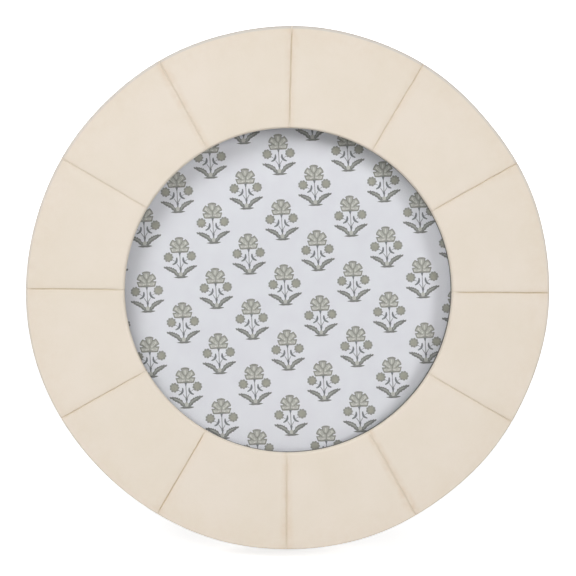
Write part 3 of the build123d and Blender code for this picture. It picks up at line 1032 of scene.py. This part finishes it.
# Covering, core and card

for segment in range(seam_count):
    face_tile(segment)
    edge_strip(segment)
seam_fillers()
core_ring()
printed_card()

# Back: each piece with its node, body, slot, material and the width of its eased edges

for name, node, body, slot, material, easing in (
    ("ring_flock", "back_lining", "frame", "lining", flock, 0.18),
    ("panel_flock", "panel_lining", "frame", "lining", flock, 0.15),
    ("leg_flock", "leg_lining", "easel", "lining", flock, 0.15),
    ("leg_board", "easel_leg", "easel", "back_board", back_board, 0.2),
    ("screws", "button_screws", "frame", "steel", nickel, 0.07),
    ("upper_leaf", "panel_hinge_leaf", "frame", "steel", nickel, 0.1),
    ("lower_leaf", "leg_hinge_leaf", "easel", "steel", nickel, 0.1),
    ("upper_rivets", "panel_rivets", "frame", "steel", nickel, 0.07),
    ("lower_rivets", "leg_rivets", "easel", "steel", nickel, 0.07),
    ("pin", "hinge_pin", "frame", "steel", nickel, 0.07),
):
    eased_piece(name, node, body, material, easing)

# The turn buttons stay a hair clear of the flock and of the screw heads that they slide between
button_easing = 0.2
button_slack = 0.02
for index in range(len(button_joints)):
    node = f"turn_button_{index + 1}"
    button = eased_piece(f"button_{index + 1}", node, node, nickel, button_easing)
    middle_level = sum(reach(node)[:2]) / 2
    for vertex in button.data.vertices:
        below = (vertex.co - ring_centre).dot(front) / MM < middle_level
        vertex.co += front * (button_slack if below else -button_slack) * MM

for node, material in (("glass_pane", glass), ("filler_board", grey_board), ("back_panel", back_board)):
    nodes[node].data.materials.clear()
    nodes[node].data.materials.append(material)

# Floor, world, lamps and camera

floor_radius = 4.0
floor_steps = 64
floor_colour = 0.6
floor_glow = 0.78
far_glow = 1.0
glow_spread = (0.25, 0.9)
world_strength = 0.055
white = (1, 1, 1, 1)
# Lamps: direction to the right, up the face and forwards, distance and size in metres, and power
lamps = {
    "lamp_upper_left": (-0.62, 0.78, 1.0, 1.3, 0.70, 9.6),
    "lamp_right": (0.76, 0.28, 1.0, 2.4, 0.74, 20.6),
    "lamp_front": (0.02, -0.16, 1.0, 1.6, 0.12, 2.5),
    "lamp_back_left": (-0.7, 0.8, -1.0, 1.1, 0.6, 5.0),
    "lamp_back_right": (0.8, 0.4, -1.0, 1.1, 0.6, 4.4),
}
# The photograph's width, and the ring's middle and radius in it, in pixels
photo_width = 576
photo_ring_middle = (287.77, 287.82)
photo_ring_radius = 261.4
camera_distance = 1000.0


def white_floor():
    """Wide pale floor that looks white where no shadow falls."""
    mesh = bpy.data.meshes.new("floor")
    rim = [(x, y, 0) for x, y in circle(floor_radius, floor_steps)]
    mesh.from_pydata(rim, [], [list(range(floor_steps))])
    floor = bpy.data.objects.new("floor", mesh)
    bpy.context.scene.collection.objects.link(floor)
    material = bpy.data.materials.new("floor_white")
    tree = Tree(material)
    matte = tree.add("ShaderNodeBsdfDiffuse", {"Color": (floor_colour, floor_colour, floor_colour, 1)})
    place = tree.add("ShaderNodeTexCoord").outputs["Object"]
    distance = tree.add("ShaderNodeVectorMath", {0: place}, operation="LENGTH").outputs["Value"]
    rise = tree.spread(distance, *glow_spread, floor_glow, far_glow)
    glow = tree.add("ShaderNodeEmission", {"Strength": tree.math("MULTIPLY", tree.seen_rays(), rise)})
    both = tree.add("ShaderNodeAddShader", {0: matte.outputs["BSDF"], 1: glow.outputs["Emission"]})
    tree.add("ShaderNodeOutputMaterial", {"Surface": both.outputs["Shader"]})
    mesh.materials.append(material)


def studio_world():
    """Even light all round; white where it is seen."""
    world = bpy.data.worlds.new("studio")
    bpy.context.scene.world = world
    tree = Tree(world)
    light = tree.add("ShaderNodeBackground", {"Color": white, "Strength": world_strength})
    seen = tree.add("ShaderNodeBackground", {"Color": white})
    chosen = tree.blend(tree.seen_rays(), light.outputs["Background"], seen.outputs["Background"])
    tree.add("ShaderNodeOutputWorld", {"Surface": chosen})


def place_looking(thing, place, direction):
    """Puts a lamp or camera in the scene, looking in a direction."""
    thing.location = place
    thing.rotation_mode = "QUATERNION"
    thing.rotation_quaternion = direction.to_track_quat("-Z", "Y")
    bpy.context.scene.collection.objects.link(thing)


def lamp(name, side, height, forward, distance, size, power):
    """Square lamp that looks at the face's middle from a direction given in the ring's coordinates."""
    data = bpy.data.lights.new(name, "AREA")
    data.shape = "SQUARE"
    data.size = size
    data.energy = power
    direction = (right * side + upward * height + front * forward).normalized()
    place = at(0, 0, tile_front) + direction * distance
    place_looking(bpy.data.objects.new(name, data), place, -direction)


def studio_camera():
    """Looks straight at the face, with the ring where the photograph has it."""
    data = bpy.data.cameras.new("camera")
    outline_distance = camera_distance + rim_front_rounding
    data.lens = photo_ring_radius * data.sensor_width / photo_width * outline_distance / outer_radius
    pixel = outer_radius / photo_ring_radius
    aim_u = (photo_width / 2 - photo_ring_middle[0]) * pixel
    aim_v = (photo_ring_middle[1] - photo_width / 2) * pixel
    camera = bpy.data.objects.new("camera", data)
    place_looking(camera, at(aim_u, aim_v, tile_front + camera_distance), -front)
    bpy.context.scene.camera = camera


white_floor()
studio_world()
for name, values in lamps.items():
    lamp(name, *values)
studio_camera()
bpy.context.scene.view_settings.view_transform = "Standard"
